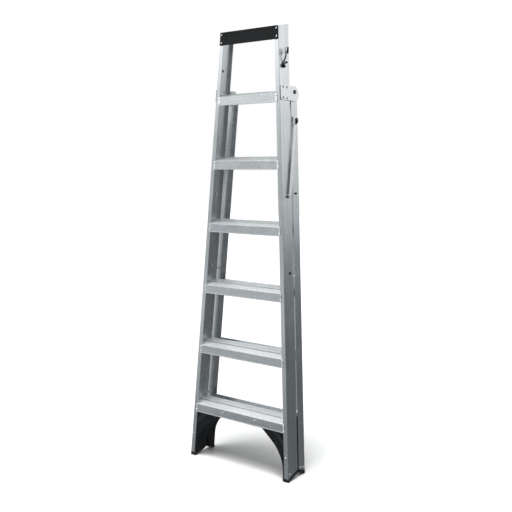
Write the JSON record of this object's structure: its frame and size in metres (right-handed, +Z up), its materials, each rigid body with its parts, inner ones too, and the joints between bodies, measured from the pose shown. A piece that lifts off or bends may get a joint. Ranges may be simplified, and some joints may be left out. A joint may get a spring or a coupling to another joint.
{
  "type": "combination ladder",
  "caption": "Free-standing aluminium combination ladder: step ladder with flat treads whose hinged rear section swings over to form a long straight ladder.",
  "frame": {"origin": "on the floor, at the middle of the closed ladder's width and depth", "axes": "+Z up, the climbing side faces -Y, +X to the right of someone facing the treads"},
  "size_m": [0.5854, 0.1622, 2.0898],
  "materials": {
    "rail_aluminium": "extruded, satin mill finish",
    "tread_aluminium": "ribbed extrusion, satin",
    "rivet_metal": "drawn, slightly dull",
    "zinc_steel": "zinc plated",
    "dark_steel": "dark phosphated",
    "black_plastic": "moulded, fine grain",
    "black_rubber": "moulded rubber",
    "pale_nylon": "plain nylon"
  },
  "bodies": {
    "front_section": {"closing_buttons": "pale_nylon", "front_foot_left": "black_rubber", "front_foot_right": "black_rubber", "front_foot_rivets": "rivet_metal", "front_gusset_left": "black_plastic", "front_gusset_right": "black_plastic", "front_gusset_rivets": "rivet_metal", "front_rail_left": "rail_aluminium", "front_rail_right": "rail_aluminium", "front_tread_1": "tread_aluminium", "front_tread_2": "tread_aluminium", "front_tread_3": "tread_aluminium", "front_tread_4": "tread_aluminium", "front_tread_5": "tread_aluminium", "front_tread_6": "tread_aluminium", "front_tread_rivets": "rivet_metal", "hinge_bolts": "dark_steel", "hinge_nuts": "zinc_steel", "hinge_plate_left": "zinc_steel", "hinge_plate_right": "zinc_steel", "hinge_plate_rivets": "dark_steel", "hinge_washers": "pale_nylon", "latch_hubs": "black_plastic", "latch_pivots": "zinc_steel", "latch_stops": "black_rubber", "parking_studs": "zinc_steel", "stay_pivots": "zinc_steel", "top_brace": "black_plastic", "top_brace_rivets": "rivet_metal"},
    "rear_section": {"catch_rivets": "rivet_metal", "catch_rollers": "black_plastic", "hinge_bushes": "pale_nylon", "rear_foot_left": "black_rubber", "rear_foot_right": "black_rubber", "rear_foot_rivets": "rivet_metal", "rear_gusset_left": "black_plastic", "rear_gusset_right": "black_plastic", "rear_gusset_rivets": "rivet_metal", "rear_rail_left": "rail_aluminium", "rear_rail_right": "rail_aluminium", "rear_tread_1": "tread_aluminium", "rear_tread_2": "tread_aluminium", "rear_tread_3": "tread_aluminium", "rear_tread_4": "tread_aluminium", "rear_tread_5": "tread_aluminium", "rear_tread_rivets": "rivet_metal", "stay_studs": "dark_steel"},
    "stay_left": {"stay_left": "zinc_steel", "stay_grip_left": "black_plastic", "stay_grip_rivet_left": "rivet_metal"},
    "stay_right": {"stay_right": "zinc_steel", "stay_grip_right": "black_plastic", "stay_grip_rivet_right": "rivet_metal"},
    "latch_left": {"latch_lever_left": "dark_steel", "latch_grip_left": "black_plastic"},
    "latch_right": {"latch_lever_right": "dark_steel", "latch_grip_right": "black_plastic"}
  },
  "joints": [
    {"name": "rear_swing", "type": "hinge", "parent": "front_section", "child": "rear_section", "pos_m": [0, 0.0444, 1.788], "axis": [1, 0, 0], "range_deg": [0, 180]},
    {"name": "stay_turn_left", "type": "hinge", "parent": "front_section", "child": "stay_left", "pos_m": [-0.20967, -0.0236, 1.311], "axis": [-0.998, 0, 0.0627], "range_deg": [0, 169.92]},
    {"name": "stay_turn_right", "type": "hinge", "parent": "front_section", "child": "stay_right", "pos_m": [0.20967, -0.0236, 1.311], "axis": [-0.998, 0, -0.0627], "range_deg": [0, 169.92]},
    {"name": "latch_turn_left", "type": "hinge", "parent": "front_section", "child": "latch_left", "pos_m": [-0.1873, -0.0436, 1.895], "axis": [-1, 0, 0], "range_deg": [0, 75.57]},
    {"name": "latch_turn_right", "type": "hinge", "parent": "front_section", "child": "latch_right", "pos_m": [0.1873, -0.0436, 1.895], "axis": [-1, 0, 0], "range_deg": [0, 75.57]}
  ]
}
